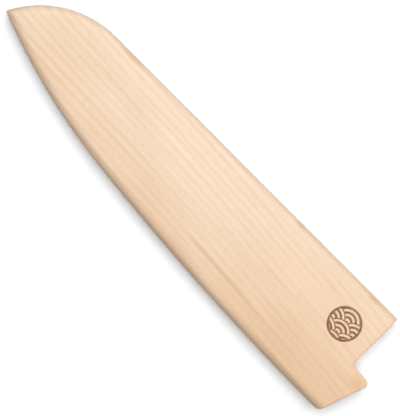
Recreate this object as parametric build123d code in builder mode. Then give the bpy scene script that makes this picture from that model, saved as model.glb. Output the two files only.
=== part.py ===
# Wooden blade guard for a kitchen knife: two panels glued to a core, with a slot for the blade.
# Millimetres. +X runs from the tip to the mouth, +Y from the belly to the spine, +Z is up.
# The origin is under the middle of the guard, on the face that it lies on.

import os
from math import asin, degrees, radians, tan

from build123d import *
from build123d.topology import SkipClean

# Outline, seen from the front
guard_width = 53.4
spine_length = 175.8
nose_radius = 47.2
nose_angle = 63.9
belly_length = 143.0
belly_radius = 1330.0
tip_corner_radius = 0.8
nose_arcs = 10
front_belly_arcs = 8
rear_belly_arcs = 10

# Mouth, notch for the knife's bolster, and tab over the knife's heel
neck_height = 28.3
tab_length = 11.8
tab_top_angle = 3.0
tab_end_angle = 18.6
mouth_corner_radius = 0.7
notch_corner_radius = 1.3
tab_corner_radius = 2.1
heel_corner_radius = 3.2

# Panels
panel_thickness = 4.5
edge_flat = 0.5
wall_clearance = 0.05
mouth_ease_radius = 0.35
slot_lead_in = 0.8

# Core and the slot that it leaves
slot_gap = 3.0
core_wall = 4.2
slot_tip_radius = 1.5
spacer_end_radius = 1.6

# Magnets in their pockets, under thin plugs
magnet_count = 4
magnet_pitch = 38.0
first_magnet_distance = 26.0
magnet_spine_distance = 25.5
magnet_radius = 4.0
magnet_thickness = 2.0
magnet_edge_chamfer = 0.2
pocket_clearance = 0.1
plug_thickness = 0.6
plug_clearance = 0.05

# How far a cutting shape runs past what it cuts
overrun = 5.0

# Places that follow from the sizes
tab_drop = tab_length * tan(radians(tab_top_angle))
tab_end_height = guard_width - neck_height - tab_drop
heel_x = tab_length - tab_end_height * tan(radians(tab_end_angle))
belly_sweep = degrees(asin(belly_length / belly_radius))
blank_end_x = tab_length + core_wall + overrun
blank_length = spine_length + nose_radius + overrun
round_over_radius = panel_thickness - edge_flat
pocket_radius = magnet_radius + pocket_clearance
pocket_depth = magnet_thickness + plug_thickness
magnet_places = [(-first_magnet_distance - index * magnet_pitch, -magnet_spine_distance)
                 for index in range(magnet_count)]

# The outline is drawn from the spine's end at the mouth: a straight spine, one nose arc,
# and a belly of two arcs that run into each other.
with BuildSketch() as sharp_outline:
    with BuildLine():
        spine = Line((0, 0), (-spine_length, 0))
        nose = JernArc(spine @ 1, spine % 1, nose_radius, nose_angle)
        mouth = Line(spine @ 0, (0, -neck_height))
        tab_top = Line(mouth @ 1, (tab_length, -neck_height - tab_drop))
        tab_end = Line(tab_top @ 1, (heel_x, -guard_width))
        rear_belly = JernArc(tab_end @ 1, (-1, 0), belly_radius, -belly_sweep)
        front_belly = TangentArc(rear_belly @ 1, nose @ 1, tangent=rear_belly % 1)
    make_face()

with BuildSketch() as outline:
    add(sharp_outline.sketch)
    fillet(outline.vertices().sort_by_distance(nose @ 1)[0], tip_corner_radius)
    fillet(outline.vertices().sort_by_distance(spine @ 0)[0], mouth_corner_radius)
    fillet(outline.vertices().sort_by_distance(mouth @ 1)[0], notch_corner_radius)
    fillet(outline.vertices().sort_by_distance(tab_top @ 1)[0], tab_corner_radius)
    fillet(outline.vertices().sort_by_distance(tab_end @ 1)[0], heel_corner_radius)

# The same spine, nose and belly on a blank that is still too long at the mouth
with BuildSketch() as long_outline:
    with BuildLine():
        add([nose, front_belly, rear_belly])
        Polyline(nose @ 0, (blank_end_x, 0), (blank_end_x, -guard_width), rear_belly @ 0)
    make_face()

# The slot follows the blank's outline one wall further in, and is open at the mouth
with BuildSketch() as slot_outline:
    offset(long_outline.sketch, amount=-core_wall, kind=Kind.INTERSECTION)
    slot_tip = slot_outline.vertices().sort_by_distance(nose @ 1)[0]
    fillet(slot_tip, slot_tip_radius)

# The guard is centred on its origin, and lies on the back panel
outline_centre = outline.sketch.bounding_box().center()
mouth_x = -outline_centre.X
spine_y = -outline_centre.Y
rest_plane = Plane(origin=(mouth_x, spine_y, 0))
back_inner_plane = rest_plane.offset(panel_thickness)
front_inner_plane = back_inner_plane.offset(slot_gap)
middle_plane = back_inner_plane.offset(slot_gap / 2)

# Lead-in: the slot's walls slope open towards the mouth, the notch and the tab's end
with BuildPart() as lead_in_cutter:
    with BuildSketch(front_inner_plane):
        add(slot_outline.sketch)
        offset(outline.sketch, amount=-slot_lead_in, mode=Mode.SUBTRACT)
    with BuildSketch(front_inner_plane.offset(slot_lead_in)):
        add(slot_outline.sketch)
        add(outline.sketch, mode=Mode.SUBTRACT)
    loft(ruled=True)

# The saw's line: mouth, notch and tab end, with corners that run out just past spine and belly
with BuildSketch() as mouth_profile:
    with BuildLine():
        Polyline(
            (-blank_length, wall_clearance),
            (0, wall_clearance),
            mouth @ 1,
            tab_top @ 1,
            tab_end @ 1 + tab_end % 1 * wall_clearance,
            (-blank_length, -guard_width - wall_clearance),
            close=True,
        )
    make_face()
    fillet(mouth_profile.vertices().sort_by_distance(spine @ 0)[0], mouth_corner_radius)
    fillet(mouth_profile.vertices().sort_by_distance(mouth @ 1)[0], notch_corner_radius)
    fillet(mouth_profile.vertices().sort_by_distance(tab_top @ 1)[0], tab_corner_radius)
    fillet(mouth_profile.vertices().sort_by_distance(tab_end @ 1)[0], heel_corner_radius)

# A panel's blank has the same spine, nose and belly, with each curve drawn as short arcs of
# its own radius, so that the round-over along them is a row of short patches.
blank_arcs = [
    curve.trim(arc / arcs, (arc + 1) / arcs)
    for curve, arcs in ((nose, nose_arcs), (front_belly, front_belly_arcs), (rear_belly, rear_belly_arcs))
    for arc in range(arcs)
]
blank_end = Polyline(nose @ 0, (blank_end_x, 0), (blank_end_x, -guard_width), rear_belly @ 0)
blank_face = Face(Wire([*blank_arcs, *blank_end.edges()]))
blank_tip = blank_face.vertices().sort_by_distance(nose @ 1)[0]
blank_face = front_inner_plane * blank_face.fillet_2d(tip_corner_radius, [blank_tip])

# The patches stay apart through every later cut
with SkipClean():
    # The blank is rounded over along its spine, nose and belly before its mouth is sawn
    blank = extrude(blank_face, amount=panel_thickness, clean=False)
    front_edges = blank.faces().sort_by(Axis.Z)[-1].edges()
    rounded_blank = fillet(front_edges.sort_by(Axis.Y)[-1], round_over_radius)

    # Front panel: the rounded blank with its mouth sawn, its slot's lead-in and its pockets
    with BuildPart() as front_panel:
        with BuildSketch(front_inner_plane):
            add(mouth_profile.sketch)
        extrude(amount=panel_thickness)
        fillet(front_panel.faces().sort_by(Axis.Z)[-1].edges(), mouth_ease_radius)
        add(rounded_blank, mode=Mode.INTERSECT, clean=False)

        add(lead_in_cutter.part, mode=Mode.SUBTRACT, clean=False)
        with BuildSketch(front_inner_plane):
            with Locations(magnet_places):
                Circle(pocket_radius)
        extrude(amount=pocket_depth, mode=Mode.SUBTRACT, clean=False)
    front_panel.part.label = "front_panel"

    # Back panel: the same board, turned over
    with BuildPart() as back_panel:
        add(front_panel.part.mirror(middle_plane), clean=False)
    back_panel.part.label = "back_panel"

# The core is parted by a mitre at the tip, on the line from the outline's tip to the slot's
mitre = Line(nose @ 1, slot_tip)
with BuildSketch() as spine_side:
    with BuildLine():
        mitre_start = mitre @ 0 - mitre % 0 * overrun
        mitre_end = mitre @ 1 + mitre % 1 * overrun
        Polyline(
            mitre_start,
            mitre_end,
            (blank_end_x, mitre_end.Y),
            (blank_end_x, overrun),
            (mitre_start.X, overrun),
            close=True,
        )
    make_face()

with BuildSketch() as core_outline:
    add(outline.sketch)
    add(slot_outline.sketch, mode=Mode.SUBTRACT)

# Spine spacer: the core strip along the spine and round the nose
with BuildPart() as spine_spacer:
    with BuildSketch(back_inner_plane) as spine_strip:
        add(core_outline.sketch)
        add(spine_side.sketch, mode=Mode.INTERSECT)
        slot_corner = (0, -core_wall)
        fillet(spine_strip.vertices().sort_by_distance(slot_corner)[0], spacer_end_radius)
    extrude(amount=slot_gap)
spine_spacer.part.label = "spine_spacer"

# Edge spacer: the core strip between the cutting edge and the outside, up to the tab's end
with BuildPart() as edge_spacer:
    with BuildSketch(back_inner_plane) as edge_strip:
        add(core_outline.sketch)
        add(spine_side.sketch, mode=Mode.SUBTRACT)
        slot_corner = (heel_x, core_wall - guard_width)
        fillet(edge_strip.vertices().sort_by_distance(slot_corner)[0], spacer_end_radius)
    extrude(amount=slot_gap)
edge_spacer.part.label = "edge_spacer"

pieces = [front_panel.part, back_panel.part, spine_spacer.part, edge_spacer.part]

# Magnets and plugs: each pocket holds a magnet at its bottom and a plug flush with the slot
for side, inner_plane, into_panel in (("front", front_inner_plane, 1), ("back", back_inner_plane, -1)):
    for number, place in enumerate(magnet_places, start=1):
        with BuildPart() as plug:
            with BuildSketch(inner_plane):
                with Locations(place):
                    Circle(pocket_radius - plug_clearance)
            extrude(amount=into_panel * plug_thickness)
        plug.part.label = f"{side}_plug_{number}"

        with BuildPart() as magnet:
            with BuildSketch(inner_plane.offset(into_panel * plug_thickness)):
                with Locations(place):
                    Circle(magnet_radius)
            extrude(amount=into_panel * magnet_thickness)
            chamfer(magnet.edges().filter_by(GeomType.CIRCLE), magnet_edge_chamfer)
        magnet.part.label = f"{side}_magnet_{number}"

        pieces += [plug.part, magnet.part]

os.makedirs("parts", exist_ok=True)
for piece in pieces:
    export_step(piece, f"parts/{piece.label}.step")
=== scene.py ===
from math import cos, radians, sin

import bpy
from mathutils import Euler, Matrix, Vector


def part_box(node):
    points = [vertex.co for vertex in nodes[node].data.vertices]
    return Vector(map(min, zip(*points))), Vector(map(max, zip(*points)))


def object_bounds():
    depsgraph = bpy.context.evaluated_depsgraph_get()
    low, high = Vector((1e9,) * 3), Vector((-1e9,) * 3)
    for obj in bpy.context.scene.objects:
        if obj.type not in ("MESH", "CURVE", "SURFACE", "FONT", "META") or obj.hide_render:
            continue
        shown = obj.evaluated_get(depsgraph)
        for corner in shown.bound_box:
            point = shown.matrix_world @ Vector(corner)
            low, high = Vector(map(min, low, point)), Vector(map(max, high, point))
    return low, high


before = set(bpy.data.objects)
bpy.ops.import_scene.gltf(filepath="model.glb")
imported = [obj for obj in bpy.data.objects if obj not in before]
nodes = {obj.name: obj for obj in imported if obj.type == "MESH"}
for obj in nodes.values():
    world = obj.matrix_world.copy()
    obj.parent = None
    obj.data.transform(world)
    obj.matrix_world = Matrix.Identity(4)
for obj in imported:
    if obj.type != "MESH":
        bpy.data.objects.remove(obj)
cad_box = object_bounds()
bpy.ops.object.select_all(action="DESELECT")

# Back panel: the lower of two sawn maple boards, planed flat inside and rounded over outside.
# It lies on its face and carries all that is glued on top of it.
# Its wood, like every board's, is worked out in millimetres inside the log that it was cut
# from: the log's heart is the X axis, and each board has its own place and turn in the log.
MM_IN_METRE = 1000
board_half_length = 114
mouth_x = 103.5
tab_top_y = -1.7
tab_lean = radians(18.6)
tab_end_distance = 110.0
joint_heights = (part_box("back_panel")[1].z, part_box("front_panel")[0].z)
glue_line_width = 0.00012

pale_wood = (0.761, 0.570, 0.415, 1)
warm_wood = (0.643, 0.431, 0.269, 1)
late_wood_tint = (0.90, 0.885, 0.865, 1)
streak_tint = (0.95, 0.94, 0.92, 1)
pore_tint = (0.74, 0.64, 0.54, 1)
fleck_tint = (0.965, 0.955, 0.94, 1)
end_grain_tint = (0.93, 0.86, 0.77, 1)
# Painted shade: this tint darkens faces as they lean from flat, in a cool grey that stands for their
# shading and the white floor's reflection.
edge_shade_tint = (0.77, 0.80, 0.85, 1)
# Painted shade: this tint darkens a thin band along the crisp rims of the mouth, the notch and the tab's
# end, standing in for an eased edge's shading.
rim_shade_tint = (0.93, 0.92, 0.90, 1)
rim_width = 1.7
wall_shade_change = -0.5
glue_tint = (0.62, 0.48, 0.33, 1)
ring_width = 3.05
faintest_ring = 0.45
darkest_ring = 0.7
end_grain_ring_gain = 1.6
heartwood_blend = 30


def fill(tree, socket, value):
    """Links another node's output to a socket, or sets the socket's own value."""
    if isinstance(value, bpy.types.NodeSocket):
        tree.links.new(value, socket)
    else:
        socket.default_value = value


def add_node(tree, kind, inputs=None, **options):
    """Adds a node, sets its options and fills its inputs by name or number."""
    new = tree.nodes.new(kind)
    for option, setting in options.items():
        setattr(new, option, setting)
    for name, value in (inputs or {}).items():
        fill(tree, new.inputs[name], value)
    return new


def calc(tree, operation, *values):
    """One math node; gives its result."""
    return add_node(tree, "ShaderNodeMath", dict(enumerate(values)), operation=operation).outputs[0]


def rise(tree, value, start, end, low=0.0, high=1.0):
    """Rises smoothly from low to high while the value runs from start to end."""
    inputs = {"Value": value, "From Min": start, "From Max": end, "To Min": low, "To Max": high}
    return add_node(tree, "ShaderNodeMapRange", inputs, interpolation_type="SMOOTHSTEP").outputs[0]


def axes_of(tree, vector):
    """A vector's three numbers, by the names X, Y and Z."""
    return add_node(tree, "ShaderNodeSeparateXYZ", {0: vector}).outputs


def reach_of(tree, *values):
    """The length of a line with these numbers as its sides."""
    squares = [calc(tree, "MULTIPLY", value, value) for value in values]
    return calc(tree, "SQRT", calc(tree, "ADD", *squares))


def tint(tree, share, base, colour, mode="MULTIPLY"):
    """Multiplies a colour into another, or mixes it in, by a share."""
    mixer = add_node(tree, "ShaderNodeMix", data_type="RGBA", blend_type=mode)
    fill(tree, mixer.inputs[0], share)
    fill(tree, mixer.inputs[6], base)
    fill(tree, mixer.inputs[7], colour)
    return mixer.outputs[2]


def stretched_noise(tree, place, per_mm, detail=2.0):
    """Noise with its own count of waves per millimetre along X, Y and Z."""
    scaled = add_node(tree, "ShaderNodeMapping", {"Vector": place, "Scale": per_mm}).outputs[0]
    inputs = {"Vector": scaled, "Scale": 1.0, "Detail": detail}
    return add_node(tree, "ShaderNodeTexNoise", inputs).outputs[0]


def new_group(name, inputs, outputs):
    """An empty shader group: gives its tree, its inputs and its output node."""
    tree = bpy.data.node_groups.new(name, "ShaderNodeTree")
    for socket, kind in inputs.items():
        tree.interface.new_socket(socket, in_out="INPUT", socket_type="NodeSocket" + kind)
    for socket in outputs:
        tree.interface.new_socket(socket, in_out="OUTPUT", socket_type="NodeSocketFloat")
    return tree, tree.nodes.new("NodeGroupInput").outputs, tree.nodes.new("NodeGroupOutput")


def place_group(tree, group, **inputs):
    """Puts a group into a tree with its own values; a name's underscores are spaces."""
    placed = tree.nodes.new("ShaderNodeGroup")
    placed.node_tree = group
    for name, value in inputs.items():
        fill(tree, placed.inputs[name.replace("_", " ")], value)
    return placed.outputs


def follow_swing(tree, place, centre, radius):
    """Lets straight grain swing sideways: level at the centre, steeper towards both ends."""
    axes = axes_of(tree, place)
    beyond = calc(tree, "SUBTRACT", axes["X"], centre)
    bend = calc(tree, "MULTIPLY", beyond, calc(tree, "ABSOLUTE", beyond))
    across = calc(tree, "MULTIPLY_ADD", bend, 0.5 / radius, axes["Y"])
    swung = {"X": axes["X"], "Y": across, "Z": axes["Z"]}
    return add_node(tree, "ShaderNodeCombineXYZ", swung).outputs[0]


def growth_ring_group():
    """Yearly rings round the log's heart: the radius, the dark late wood and each year's tone."""
    tree, given, result = new_group(
        "growth_rings",
        {"Place": "Vector", "Ring Width": "Float"},
        ("Radius", "Late Wood", "Year Tone"),
    )
    place = given["Place"]
    axes = axes_of(tree, place)
    radius = reach_of(tree, axes["Y"], axes["Z"])
    slow_sway = stretched_noise(tree, place, (0.008, 0.025, 0.025), detail=1.0)
    quick_sway = stretched_noise(tree, place, (0.045, 0.1, 0.1), detail=1.0)
    radius = calc(tree, "MULTIPLY_ADD", slow_sway, 3.4, radius)
    radius = calc(tree, "MULTIPLY_ADD", quick_sway, 0.6, radius)
    years = calc(tree, "DIVIDE", radius, given["Ring Width"])
    uneven = add_node(tree, "ShaderNodeTexNoise", {"W": years, "Scale": 0.6}, noise_dimensions="1D")
    years = calc(tree, "MULTIPLY_ADD", uneven.outputs[0], 0.3, years)
    season = calc(tree, "FRACT", years)
    autumn = rise(tree, season, 0.1, 0.62)
    winter = rise(tree, season, 1.0, 0.62)
    year = calc(tree, "FLOOR", years)
    tone = add_node(tree, "ShaderNodeTexWhiteNoise", {"W": year}, noise_dimensions="1D").outputs[0]
    fill(tree, result.inputs["Radius"], radius)
    fill(tree, result.inputs["Late Wood"], calc(tree, "MULTIPLY", autumn, winter))
    fill(tree, result.inputs["Year Tone"], tone)
    return tree


def wood_fibre_group():
    """What runs along the grain inside a year: fibre streaks, pores and small ray flecks."""
    tree, given, result = new_group(
        "wood_fibres", {"Place": "Vector"}, ("Streaks", "Pores", "Flecks")
    )
    place = given["Place"]
    coarse = stretched_noise(tree, place, (0.025, 0.7, 0.7), detail=2.0)
    fine = stretched_noise(tree, place, (0.09, 4.0, 4.0), detail=2.0)
    streaks = calc(tree, "MULTIPLY_ADD", coarse, 0.6, calc(tree, "MULTIPLY", fine, 0.4))
    pores = rise(tree, stretched_noise(tree, place, (0.5, 7.0, 7.0), detail=1.0), 0.64, 0.76)
    flecks = rise(tree, stretched_noise(tree, place, (0.8, 1.8, 1.2), detail=1.0), 0.4, 0.65)
    fill(tree, result.inputs["Streaks"], streaks)
    fill(tree, result.inputs["Pores"], pores)
    fill(tree, result.inputs["Flecks"], flecks)
    return tree


def cut_face_group():
    """Where a face cuts the fibres across, is an upright wall, and how far it leans from flat, which drives
    the painted edge shade.
    """
    tree, given, result = new_group(
        "cut_faces", {"Normal": "Vector"}, ("End Grain", "Side Wall", "Leaning Face")
    )
    axes = axes_of(tree, given["Normal"])
    flatness = calc(tree, "ABSOLUTE", axes["Z"])
    edge_shade_share = calc(tree, "SUBTRACT", 1, calc(tree, "MULTIPLY", flatness, flatness))
    fill(tree, result.inputs["End Grain"], rise(tree, calc(tree, "ABSOLUTE", axes["X"]), 0.5, 0.98))
    fill(tree, result.inputs["Side Wall"], rise(tree, flatness, 0.5, 0.1))
    fill(tree, result.inputs["Leaning Face"], edge_shade_share)
    return tree


def glue_line_group():
    """The hairline of glue where a panel meets the core, on upright walls only."""
    tree, given, result = new_group("glue_lines", {"Height": "Float", "Side Wall": "Float"}, ("Glue",))
    lines = []
    for joint_height in joint_heights:
        distance = calc(tree, "ABSOLUTE", calc(tree, "SUBTRACT", given["Height"], joint_height))
        lines.append(rise(tree, distance, glue_line_width, glue_line_width / 3))
    either = calc(tree, "MAXIMUM", *lines)
    fill(tree, result.inputs["Glue"], calc(tree, "MULTIPLY", either, given["Side Wall"]))
    return tree


def mouth_rim_group():
    """How near a place is to the sharp rims of the mouth, the notch and the tab's end."""
    tree, given, result = new_group("mouth_rims", {"Place": "Vector", "Width": "Float"}, ("Rim",))
    axes = axes_of(tree, given["Place"])
    from_mouth = calc(tree, "MAXIMUM", calc(tree, "SUBTRACT", mouth_x, axes["X"]), 0)
    below_tab_top = calc(tree, "MAXIMUM", calc(tree, "SUBTRACT", tab_top_y, axes["Y"]), 0)
    from_notch = reach_of(tree, from_mouth, below_tab_top)
    along_tab = calc(tree, "MULTIPLY", axes["X"], cos(tab_lean))
    along_tab = calc(tree, "MULTIPLY_ADD", axes["Y"], -sin(tab_lean), along_tab)
    from_tab_end = calc(tree, "SUBTRACT", tab_end_distance, along_tab)
    nearest = calc(tree, "MINIMUM", from_notch, from_tab_end)
    fill(tree, result.inputs["Rim"], rise(tree, nearest, given["Width"], 0.0))
    return tree


growth_rings = growth_ring_group()
wood_fibres = wood_fibre_group()
cut_faces = cut_face_group()
glue_lines = glue_line_group()
mouth_rims = mouth_rim_group()


def maple(name, log_place, log_turn, swing, heartwood_radius, ring_strength=(0.8, 0.8), marks=None):
    """Sanded maple. Heartwood is warmer than the wood outside its radius; marks are a board's own."""
    material = bpy.data.materials.new(name)
    material.use_nodes = True
    tree = material.node_tree
    shader = tree.nodes["Principled BSDF"]
    coordinates = add_node(tree, "ShaderNodeTexCoord").outputs
    on_board = add_node(
        tree, "ShaderNodeMapping", {"Vector": coordinates["Object"], "Scale": (MM_IN_METRE,) * 3}
    ).outputs[0]
    turn = [radians(angle) for angle in log_turn]
    in_log = add_node(
        tree, "ShaderNodeMapping", {"Vector": on_board, "Location": log_place, "Rotation": turn}
    ).outputs[0]
    in_log = follow_swing(tree, in_log, *swing)
    along = axes_of(tree, on_board)["X"]
    height = axes_of(tree, coordinates["Object"])["Z"]
    rings = place_group(tree, growth_rings, Place=in_log, Ring_Width=ring_width)
    fibres = place_group(tree, wood_fibres, Place=in_log)
    faces = place_group(tree, cut_faces, Normal=coordinates["Normal"])
    glue = place_group(tree, glue_lines, Height=height, Side_Wall=faces["Side Wall"])["Glue"]

    heartwood = rise(
        tree, rings["Radius"], heartwood_radius + heartwood_blend, heartwood_radius - heartwood_blend
    )
    drift = stretched_noise(tree, in_log, (0.02, 0.05, 0.05), detail=1.0)
    drift = rise(tree, drift, 0.3, 0.7, -0.15, 0.15)
    colour = tint(tree, calc(tree, "ADD", heartwood, drift), pale_wood, warm_wood, "MIX")
    year_depth = rise(tree, rings["Year Tone"], 0, 1, faintest_ring, darkest_ring)
    along_depth = rise(tree, along, -board_half_length, board_half_length, *ring_strength)
    year_depth = calc(tree, "MULTIPLY", year_depth, along_depth)
    end_depth = calc(tree, "MULTIPLY_ADD", faces["End Grain"], end_grain_ring_gain, 1.0)
    year_depth = calc(tree, "MULTIPLY", year_depth, end_depth)
    colour = tint(tree, calc(tree, "MULTIPLY", rings["Late Wood"], year_depth), colour, late_wood_tint)
    colour = tint(tree, rise(tree, fibres["Streaks"], 0.65, 0.35), colour, streak_tint)
    colour = tint(tree, calc(tree, "MULTIPLY", fibres["Pores"], 0.3), colour, pore_tint)
    colour = tint(tree, fibres["Flecks"], colour, fleck_tint)
    colour = tint(tree, faces["End Grain"], colour, end_grain_tint)
    # Painted shade: faces that lean from flat are darkened in a cool grey for their shading and the white
    # floor's reflection, half as much on upright walls.
    edge_shade_share = calc(tree, "MULTIPLY_ADD", faces["Side Wall"], wall_shade_change, faces["Leaning Face"])
    colour = tint(tree, edge_shade_share, colour, edge_shade_tint)
    # Painted shade: a thin darker band along the crisp rims of the mouth, the notch and the tab's end
    # stands in for the shading of an eased edge.
    rim = place_group(tree, mouth_rims, Place=on_board, Width=rim_width)["Rim"]
    colour = tint(tree, rim, colour, rim_shade_tint)
    colour = tint(tree, glue, colour, glue_tint)

    relief = calc(tree, "MULTIPLY_ADD", fibres["Pores"], -0.6, fibres["Streaks"])
    relief = calc(tree, "MULTIPLY_ADD", rings["Late Wood"], 0.4, relief)
    relief = calc(tree, "SUBTRACT", relief, glue)
    if marks:
        colour, relief = marks(tree, on_board, rings, fibres, colour, relief)
    fill(tree, shader.inputs["Base Color"], colour)

    roughness = rise(tree, fibres["Streaks"], 0.3, 0.7, 0.66, 0.54)
    roughness = calc(tree, "MULTIPLY_ADD", faces["End Grain"], 0.12, roughness)
    fill(tree, shader.inputs["Roughness"], roughness)
    shader.inputs["Specular IOR Level"].default_value = 0.4
    bump = add_node(tree, "ShaderNodeBump", {"Height": relief, "Strength": 0.25, "Distance": 0.00004})
    fill(tree, shader.inputs["Normal"], bump.outputs[0])
    return material


def dress(node_name, material):
    """Gives a CAD node its finish."""
    for material_slot in nodes[node_name].material_slots:
        material_slot.material = material


dress("back_panel", maple("maple_back_board", (31, -138, 64), (8, 0, 2.6), (20, -1400), 150))

# Spine spacer: the core strip along the spine and round the nose, as thick as the blade slot.
# Maple, sawn from its own board and glued between the panels.
dress("spine_spacer", maple("maple_spine_strip", (-57, 96, 41), (-34, 0, 1.2), (60, 1800), 125))

# Edge spacer: the core strip beside the cutting edge, from the tip to the end of the tab.
# Maple, glued in like the spine spacer and sanded flush with the panels.
dress("edge_spacer", maple("maple_edge_strip", (83, 121, -52), (52, 0, -2.0), (-30, 1500), 140))

# Magnets: four thin round ones sunk in each panel, which hold the blade in the slot.
# Sintered magnet, plated with bright nickel, and glued in its pocket.
nickel_colour = (0.72, 0.69, 0.64, 1)
nickel_tarnish = (0.58, 0.53, 0.46, 1)


def nickel_plate():
    """Tumbled nickel plate: faint clouds of tarnish, and fine scratches from handling."""
    material = bpy.data.materials.new("nickel_plate")
    material.use_nodes = True
    tree = material.node_tree
    shader = tree.nodes["Principled BSDF"]
    coordinates = add_node(tree, "ShaderNodeTexCoord").outputs
    place = add_node(
        tree, "ShaderNodeMapping", {"Vector": coordinates["Object"], "Scale": (MM_IN_METRE,) * 3}
    ).outputs[0]
    clouds = stretched_noise(tree, place, (0.35, 0.35, 0.35), detail=3.0)
    scratches = rise(tree, stretched_noise(tree, place, (0.4, 9.0, 2.0)), 0.6, 0.75)
    colour = tint(tree, rise(tree, clouds, 0.4, 0.7), nickel_colour, nickel_tarnish, "MIX")
    fill(tree, shader.inputs["Base Color"], colour)
    shader.inputs["Metallic"].default_value = 1.0
    roughness = rise(tree, clouds, 0.3, 0.7, 0.18, 0.34)
    fill(tree, shader.inputs["Roughness"], calc(tree, "MULTIPLY_ADD", scratches, 0.2, roughness))
    bump = add_node(tree, "ShaderNodeBump", {"Height": scratches, "Strength": 0.3, "Distance": 0.00002})
    fill(tree, shader.inputs["Normal"], bump.outputs[0])
    return material


nickel = nickel_plate()
sides = ("back", "front")
magnet_numbers = (1, 2, 3, 4)
for side in sides:
    for number in magnet_numbers:
        dress(f"{side}_magnet_{number}", nickel)

# Plugs: thin maple discs over the magnets, flush with the slot, so that the blade slides on wood.
# They were punched from offcuts, so each has its own bit of the grain.
for side_number, side in enumerate(sides):
    for number in magnet_numbers:
        log_place = (19 * number, 71 + 9 * number, 33 - 16 * side_number)
        log_turn = (14 * number, 0, 4 * number - 10)
        plug_wood = maple(f"maple_{side}_plug_{number}", log_place, log_turn, (0, 900), 80)
        dress(f"{side}_plug_{number}", plug_wood)

# Front panel: the upper board, on the show side, glued on last. Its wood is paler along the
# spine and warmer towards the belly, with a mineral streak and a few smudges of its own, and
# two broad ovals make it darker and warmer towards the mouth end and faintly so at the nose.
# Near the mouth an iron has burnt in a round stamp of the old overlapping-wave pattern.
mineral_radius = 159.6
mineral_half_width = 1.5
mineral_fade_in = (8, 18)
mineral_fade_out = (105, 25)
mineral_tint = (0.90, 0.85, 0.79, 1)
smudge_tint = (0.93, 0.84, 0.75, 1)
mouth_tint = (0.947, 0.894, 0.821, 1)
nose_tint = (0.985, 0.976, 0.955, 1)
smudges_and_tone_ovals = (
    ((-60, 25.2), (9, 2.4), smudge_tint),
    ((44.5, 25.4), (5, 2.0), smudge_tint),
    ((89.7, 24.8), (5, 2.2), smudge_tint),
    ((111, -6), (6, 5), smudge_tint),
    # Two broad ovals: darker and warmer towards the mouth end, and faintly darker and warmer at the nose.
    ((102, -4), (103, 66.5), mouth_tint),
    ((-84.5, 16.6), (60, 19.6), nose_tint),
)

stamp_centre = (88.2, 8.6)
stamp_radius = 7.4
stamp_line = 0.95
wave_radius = 6.2
rings_per_wave = 3
char = (0.155, 0.058, 0.010, 1)
scorch_tint = (0.80, 0.62, 0.45, 1)
scorch_width = 0.4
burn_softness = 0.12
burn_depth = -3


def smudge_group():
    """A soft oval smudge: full at its centre and gone at its half size."""
    tree, given, result = new_group(
        "soft_smudge", {"Place": "Vector", "Centre": "Vector", "Half Size": "Vector"}, ("Smudge",)
    )
    offset = add_node(
        tree, "ShaderNodeVectorMath", {0: given["Place"], 1: given["Centre"]}, operation="SUBTRACT"
    ).outputs[0]
    scaled = add_node(
        tree, "ShaderNodeVectorMath", {0: offset, 1: given["Half Size"]}, operation="DIVIDE"
    ).outputs[0]
    axes = axes_of(tree, scaled)
    fill(tree, result.inputs["Smudge"], rise(tree, reach_of(tree, axes["X"], axes["Y"]), 1.0, 0.0))
    return tree


def wave_scale_group():
    """Overlapping waves: how far a place is from the nearest ring of the scale on top there."""
    tree, given, result = new_group(
        "wave_scales", {"Place": "Vector", "Scale Radius": "Float", "Rings": "Float"}, ("Ring Distance",)
    )
    axes = axes_of(tree, given["Place"])
    radius = given["Scale Radius"]
    row_height = calc(tree, "DIVIDE", radius, 2)
    row = calc(tree, "FLOOR", calc(tree, "DIVIDE", axes["Y"], row_height))
    reaches = []
    for step in (-1, 0, 1):
        this_row = calc(tree, "ADD", row, step)
        shifted = calc(tree, "MULTIPLY_ADD", this_row, radius, axes["X"])
        across = calc(tree, "WRAP", shifted, radius, calc(tree, "MULTIPLY", radius, -1))
        up = calc(tree, "SUBTRACT", axes["Y"], calc(tree, "MULTIPLY", this_row, row_height))
        reaches.append(reach_of(tree, across, up))
    reach = reaches[2]
    for nearer in (reaches[1], reaches[0]):
        on_top = calc(tree, "LESS_THAN", nearer, radius)
        reach = calc(tree, "MULTIPLY_ADD", on_top, calc(tree, "SUBTRACT", nearer, reach), reach)
    half_spacing = calc(tree, "DIVIDE", row_height, given["Rings"])
    fill(tree, result.inputs["Ring Distance"], calc(tree, "PINGPONG", reach, half_spacing))
    return tree


soft_smudge = smudge_group()
wave_scales = wave_scale_group()


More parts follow.
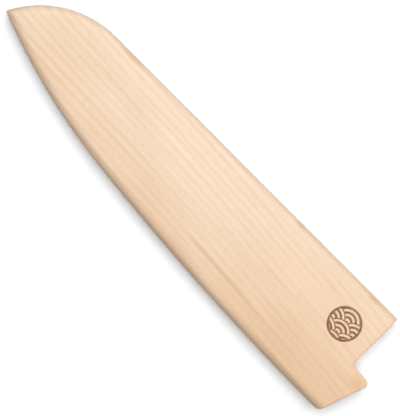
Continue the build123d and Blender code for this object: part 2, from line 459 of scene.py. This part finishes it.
def front_board_marks(tree, on_board, rings, fibres, colour, relief):
    """Adds the board's mineral streak, smudges, broad tone ovals and burnt stamp to its colour and relief.
    """
    along = axes_of(tree, on_board)["X"]
    from_mineral = calc(tree, "ABSOLUTE", calc(tree, "SUBTRACT", rings["Radius"], mineral_radius))
    mineral = rise(tree, from_mineral, mineral_half_width, 0.0)
    for start, end in (mineral_fade_in, mineral_fade_out):
        mineral = calc(tree, "MULTIPLY", mineral, rise(tree, along, start, end))
    colour = tint(tree, mineral, colour, mineral_tint)
    for (x, y), (half_length, half_width), smudge_colour in smudges_and_tone_ovals:
        smudge = place_group(
            tree, soft_smudge, Place=on_board, Centre=(x, y, 0), Half_Size=(half_length, half_width, 1)
        )["Smudge"]
        colour = tint(tree, smudge, colour, smudge_colour)

    in_stamp = add_node(
        tree, "ShaderNodeMapping", {"Vector": on_board, "Location": (-stamp_centre[0], -stamp_centre[1], 0)}
    ).outputs[0]
    in_waves = add_node(
        tree, "ShaderNodeMapping", {"Vector": in_stamp, "Location": (0, wave_radius - stamp_radius, 0)}
    ).outputs[0]
    waves = place_group(tree, wave_scales, Place=in_waves, Scale_Radius=wave_radius, Rings=rings_per_wave)
    axes = axes_of(tree, in_stamp)
    beyond_rim = calc(tree, "SUBTRACT", reach_of(tree, axes["X"], axes["Y"]), stamp_radius)
    from_wave = calc(tree, "MAXIMUM", waves["Ring Distance"], beyond_rim)
    from_line = calc(tree, "MINIMUM", calc(tree, "ABSOLUTE", beyond_rim), from_wave)
    ragged = calc(tree, "MULTIPLY_ADD", fibres["Streaks"], 0.2, calc(tree, "SUBTRACT", from_line, 0.1))
    burnt = rise(tree, ragged, stamp_line / 2 + burn_softness, stamp_line / 2 - burn_softness)
    scorched = rise(tree, from_line, stamp_line / 2 + scorch_width, stamp_line / 2, 0.0, 0.6)
    colour = tint(tree, scorched, colour, scorch_tint)
    charred = tint(tree, rise(tree, fibres["Streaks"], 0.35, 0.65, 0.0, 0.12), char, scorch_tint, "MIX")
    colour = tint(tree, burnt, colour, charred, "MIX")
    return colour, calc(tree, "MULTIPLY_ADD", burnt, burn_depth, relief)


front_board = maple(
    "maple_front_board", (0, 152, 58), (0, 0, 1.7), (-43, 1800), 161.3, (1.1, 0.6), front_board_marks
)
dress("front_panel", front_board)

# Floor: a plain white studio table, painted matt, that the guard lies flat on.
# It is stage only, and reaches far past the picture on every side.
floor_size = 14
floor_white = (0.93, 0.93, 0.93, 1)
bpy.ops.mesh.primitive_plane_add(size=floor_size, location=(0, 0, cad_box[0].z))
floor = bpy.context.object
floor.name = "studio_floor"
floor_paint = bpy.data.materials.new("white_table")
floor_paint.use_nodes = True
floor_shader = floor_paint.node_tree.nodes["Principled BSDF"]
floor_shader.inputs["Base Color"].default_value = floor_white
floor_shader.inputs["Roughness"].default_value = 0.9
floor_shader.inputs["Specular IOR Level"].default_value = 0.2
floor.data.materials.append(floor_paint)

# Light: one very large soft panel overhead, tilted towards the spine's side, in a dark room
# whose far walls are seen as white.
bpy.context.scene.view_settings.view_transform = "Standard"
world = bpy.data.worlds.new("white_room")
world.use_nodes = True
room = world.node_tree
background = room.nodes["Background"]
background.inputs["Color"].default_value = (1, 1, 1, 1)
seen = add_node(room, "ShaderNodeLightPath").outputs["Is Camera Ray"]
fill(room, background.inputs["Strength"], rise(room, seen, 0, 1, 0.015, 1.0))
bpy.context.scene.world = world

light_distance = 3.0
light_size = 4.4
light_watts = 206
light_heading = 105
cool_white = (0.975, 1.0, 1.025)
light_tilt = 15
light_turn = Euler((radians(light_tilt), 0, radians(light_heading + 90)))
light_place = light_turn.to_matrix() @ Vector((0, 0, light_distance))
bpy.ops.object.light_add(type="AREA", location=light_place, rotation=light_turn)
softbox = bpy.context.object
softbox.name = "softbox"
softbox.data.shape = "SQUARE"
softbox.data.size = light_size
softbox.data.energy = light_watts
softbox.data.color = cool_white
softbox.visible_camera = False

# Camera: straight above and a metre over the guard, with a long lens, and turned so that the
# guard lies from upper left to lower right.
camera_height = 1.0
camera_turn = radians(45.08)
view_centre = (0.00731, -0.00041)
view_width = 0.1757
camera_place = (*view_centre, cad_box[1].z + camera_height)
bpy.ops.object.camera_add(location=camera_place, rotation=(0, 0, camera_turn))
camera = bpy.context.object
camera.name = "photo_camera"
camera.data.sensor_fit = "HORIZONTAL"
camera.data.lens = camera.data.sensor_width * camera_height / view_width
bpy.context.scene.camera = camera
